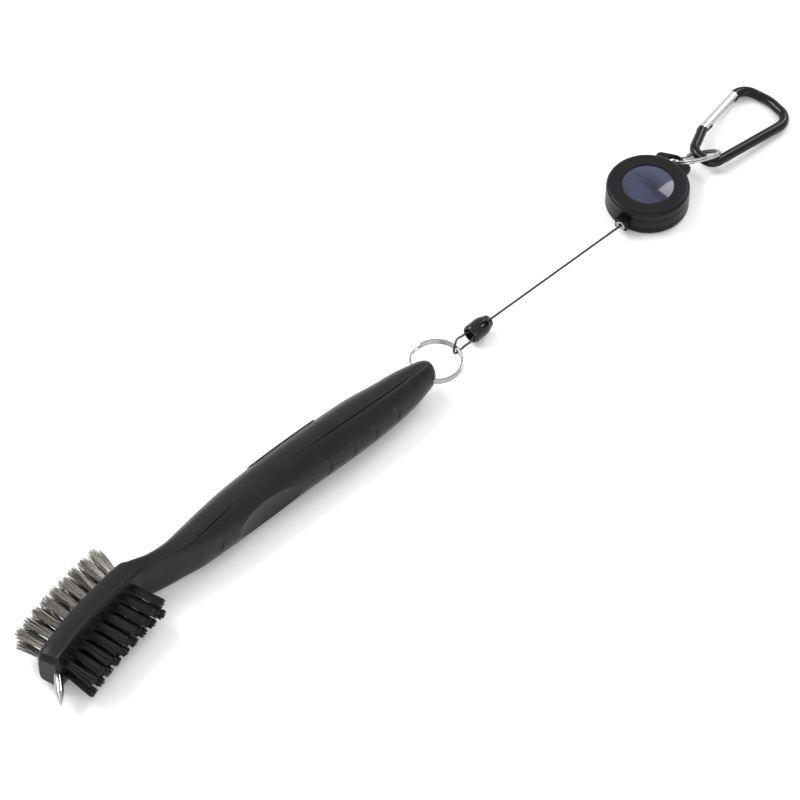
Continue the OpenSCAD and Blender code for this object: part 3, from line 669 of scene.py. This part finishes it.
def mark_depth(x, z):
    depth = 0.0
    for mark_x, mark_z, r in MARKS:
        dx = x - (mark_x - r)
        dz = z - mark_z
        angle = math.degrees(math.atan2(dz, dx))
        if abs(angle) < MARK_ARC:
            end_fade = math.cos(math.radians(angle * 90 / MARK_ARC)) ** 0.6
            depth += MARK_DEPTH * math.exp(-((math.hypot(dx, dz) - r) / MARK_HALF_W) ** 2) * end_fade
    return depth


def scooped(p):
    """Points of the nylon side, moved out of the scoop's sphere."""
    v = p - SCOOP
    inside = np.linalg.norm(v, axis=1) < SCOOP_R
    p[inside, 1] = SCOOP[1] + np.sqrt(np.maximum(0, SCOOP_R ** 2 - v[inside, 0] ** 2 - v[inside, 2] ** 2))
    return p


def grip_ring(s, side, points):
    """One section of a grip moulding, out along its outer face and back along its inner face."""
    opening = seam_open(s[X])
    gap = SEAM_HALF[0] + (SEAM_HALF[1] - SEAM_HALF[0]) * opening
    outer = half_section(s, side, 0, points, gap)
    inner = half_section(s, side, FIT - GRIP_T, points, gap)
    far = np.abs(outer[:, 0] - s[RIDGE]) - gap
    outer[:, 1] -= np.sign(outer[:, 1]) * side.groove * SEAM_DEPTH * opening * np.exp(-far / SEAM_ROUND)
    if side is WIRE:
        return np.vstack([set_down(s, outer), set_down(s, inner)[::-1]])
    for k in np.flatnonzero(far > MARKS_FROM_SEAM):
        outer[k, 0] -= mark_depth(s[X], outer[k, 1])
    return np.vstack([scooped(set_down(s, outer)), set_down(s, inner)[::-1]])


def grip_half(name, side, points, steps, angle):
    stations = np.array(between(*GRIP, steps))
    stations[0, X] -= END_GAP
    stations[-1, X] += END_GAP
    rings = [place(grip_ring(s, side, points)) for s in stations]
    faces = skin(rings, caps=False)
    n = len(rings[0])
    for start in (0, (len(rings) - 1) * n):
        for j in range(n // 2 - 1):
            face = (start + j, start + j + 1, start + n - 2 - j, start + n - 1 - j)
            faces.append(face[::-1] if start else face)
    return new_object(name, np.vstack(rings), faces, angle)


def badge_pocket():
    """The badge's outline as a prism, from the pocket's floor to outside the grip."""
    x0, x1, half_z, r = BADGE
    corners = ((x1 - r, half_z - r), (x0 + r, half_z - r), (x0 + r, r - half_z), (x1 - r, r - half_z))
    outline = []
    for quarter, (cx, cz) in enumerate(corners):
        for a in np.radians(90 * quarter + np.linspace(0, 90, 9)):
            outline.append((cx + (r + FIT) * math.cos(a), cz + (r + FIT) * math.sin(a)))
    return loft("badge_pocket", [[[x, y, MID_Z + z] for x, z in outline] for y in BADGE_Y])


wire_grip = grip_half("grip_wire_half", WIRE, 34, 10, GRIP_CREASE)
nylon_grip = grip_half("grip_nylon_half", NYLON, 60, [26, 28, 34, 44, 40, 34, 28, 26], MARKED_CREASE)
cut(wire_grip, badge_pocket())
finish_piece(wire_grip, "grip_rubber", "grip_wire_side", "brush")
finish_piece(nylon_grip, "grip_rubber", "grip_nylon_side", "brush")

# ---- bristles ----
GOLDEN_ANGLE = 2.39996  # spreads points evenly over a disc
UP_BRISTLE = np.array([-0.08, 0.2, 0.6, 1.0])   # where a bristle has its rings, from below its root
BRISTLE_SIDES = 5
ANGLE_STRAY = 0.12      # radians by which a bristle leaves its place round the tuft
SPLAY_POWER = 1.3       # above 1, a bristle leaves its root straight and spreads towards its tip
TIP_SHORT = 0.02        # by which every bristle stays inside the tuft's length


def bristle(side, root, axis, k, rng):
    """Rings of one bristle; the tuft is round at its root and ragged at its tips."""
    beside = np.cross(axis, [0, 0, 1.0])
    beside /= np.linalg.norm(beside)
    above = np.cross(beside, axis)
    spread = math.sqrt((k + 0.5) / side.bristles)
    ang = k * GOLDEN_ANGLE + rng.normal(0, ANGLE_STRAY)
    base = np.array([math.cos(ang), math.sin(ang)]) * spread
    tip = base * side.tip_r + rng.normal(0, side.stray, 2)
    length = side.out - abs(rng.normal(0, side.ragged)) - TIP_SHORT
    bow = rng.normal(0, side.bow, 2)
    path = []
    for t in UP_BRISTLE:
        up = max(t, 0)
        splay = up ** SPLAY_POWER
        at = base * side.root_r * (1 - splay) + tip * splay + bow * math.sin(math.pi * up)
        path.append(root + axis * length * t + beside * at[0] + above * at[1])
    return tube_rings(path, side.thick / 2 * np.array([1, 1, 1, side.taper]), BRISTLE_SIDES)


def bundle(side, row):
    """All bristles of a row of tufts, as one piece."""
    rng = np.random.default_rng(side.seed + row)
    bristles = []
    for root, axis in tufts(side, row):
        bristles += [bristle(side, root, axis, k, rng) for k in range(side.bristles)]
    obj = loft(f"{side.name}_{LEVELS[row]}", *bristles)
    finish_piece(obj, side.slot, f"{side.node}_{LEVELS[row]}", "brush")


for row in range(len(LEVELS)):
    bundle(WIRE, row)
    bundle(NYLON, row)

# ---- split rings ----
RING_STEPS = 200
TURN_GAP = 0.04         # between the two turns
TURNS = (0.055, 1.945)  # where the wire starts and ends, in turns
STEP_AT = 0.95          # where it steps from the lower turn to the upper one
STEP_L = 0.1
END_ROUND = 0.006       # length of its rounded ends, in turns
END_SIZE = 0.55         # size of the section at an end, against the rest
WIRE_POWERS = (0.55, 0.7)   # below 1, these square the wire's section across and in height


def ring_section(wide, high):
    """A flat wire's section with rounded corners, as outward and height."""
    section = []
    for a in np.arange(16) * 2 * math.pi / 16:
        c, s = math.cos(a), math.sin(a)
        out = math.copysign(abs(c) ** WIRE_POWERS[0], c)
        up = math.copysign(abs(s) ** WIRE_POWERS[1], s)
        section.append((out * wide / 2, up * high / 2))
    return section


def split_ring(name, outer_d, height, to_layout, body, node, start):
    """Two flat turns of wire that step from one to the other at the angle start, and end beside it."""
    turn_h = (height - TURN_GAP) / 2
    mid_r = (outer_d - RING_WIRE) / 2
    section = ring_section(RING_WIRE, turn_h)
    rings = []
    for t in np.linspace(*TURNS, RING_STEPS + 1):
        step = fade(t - STEP_AT, STEP_L)
        z = (step * step * (3 - 2 * step) - 0.5) * (turn_h + TURN_GAP)
        a = start + 2 * math.pi * t
        end = min(t - TURNS[0], TURNS[1] - t) / END_ROUND
        shrink = min(1.0, END_SIZE + (1 - END_SIZE) * end)
        out = np.array([math.cos(a), math.sin(a), 0])
        rings.append([to_layout(out * (mid_r + x * shrink) + [0, 0, z + h * shrink]) for x, h in section])
    finish_piece(loft(name, rings), "ring_chrome", node, body)


split_ring("key_ring_coil", KEY_RING_D, KEY_RING_H, lambda p: p + key_ring_at, "key_ring", "key_ring", 1.9)
ring_turn = rot_z(RING_LEAD) @ rot_y(-RING_RISE) @ rot_x(-REEL_RING_TILT)
ring_out = np.array([(REEL_RING_D - RING_WIRE) / 2, 0, 0])
split_ring("reel_ring_coil", REEL_RING_D, REEL_RING_H, lambda p: ring_turn @ (p + ring_out) + lug_at,
           "reel_ring", "reel_ring", 2.2)

# ---- floor and light, in metres ----
FLOOR_HALF = 3.0
FLOOR_POINTS = 8        # along each side
FLOOR_Z = -0.00005      # just under the object, so that the two don't touch


def make_floor():
    n = FLOOR_POINTS
    grid = np.linspace(-FLOOR_HALF, FLOOR_HALF, n)
    corners = [j * n + i for j in range(n - 1) for i in range(n - 1)]
    floor = new_object("floor", [(x, y, FLOOR_Z) for y in grid for x in grid],
                       [(a, a + 1, a + n + 1, a + n) for a in corners])
    pale = material("floor_pale", (0.93, 0.93, 0.935), (0.94, 0.94, 0.945), 0.7, grain=50, bump=0.0)
    floor.data.materials.append(pale)


def area_light(name, at, look_at, size, power):
    data = bpy.data.lights.new(name, "AREA")
    data.shape = "RECTANGLE"
    data.size, data.size_y = size
    data.energy = power
    lamp = bpy.data.objects.new(name, data)
    bpy.context.scene.collection.objects.link(lamp)
    lamp.location = at
    lamp.rotation_euler = (Vector(look_at) - Vector(at)).to_track_quat("-Z", "Y").to_euler()


def make_world():
    world = bpy.data.worlds.new("studio")
    bpy.context.scene.world = world
    world.use_nodes = True
    background = world.node_tree.nodes["Background"]
    background.inputs["Color"].default_value = (1, 1, 1, 1)
    background.inputs["Strength"].default_value = 0.92


make_floor()
make_world()
area_light("key", (-0.35, 0.75, 0.85), (0, 0, 0), (0.7, 0.5), 9.5)
area_light("side", (0.85, 0.1, 0.7), (0.05, 0, 0), (0.4, 0.5), 3.5)
area_light("front", (-0.5, -0.8, 0.5), (0, 0, 0), (0.8, 0.3), 2.5)
bpy.context.scene.view_settings.view_transform = "Standard"
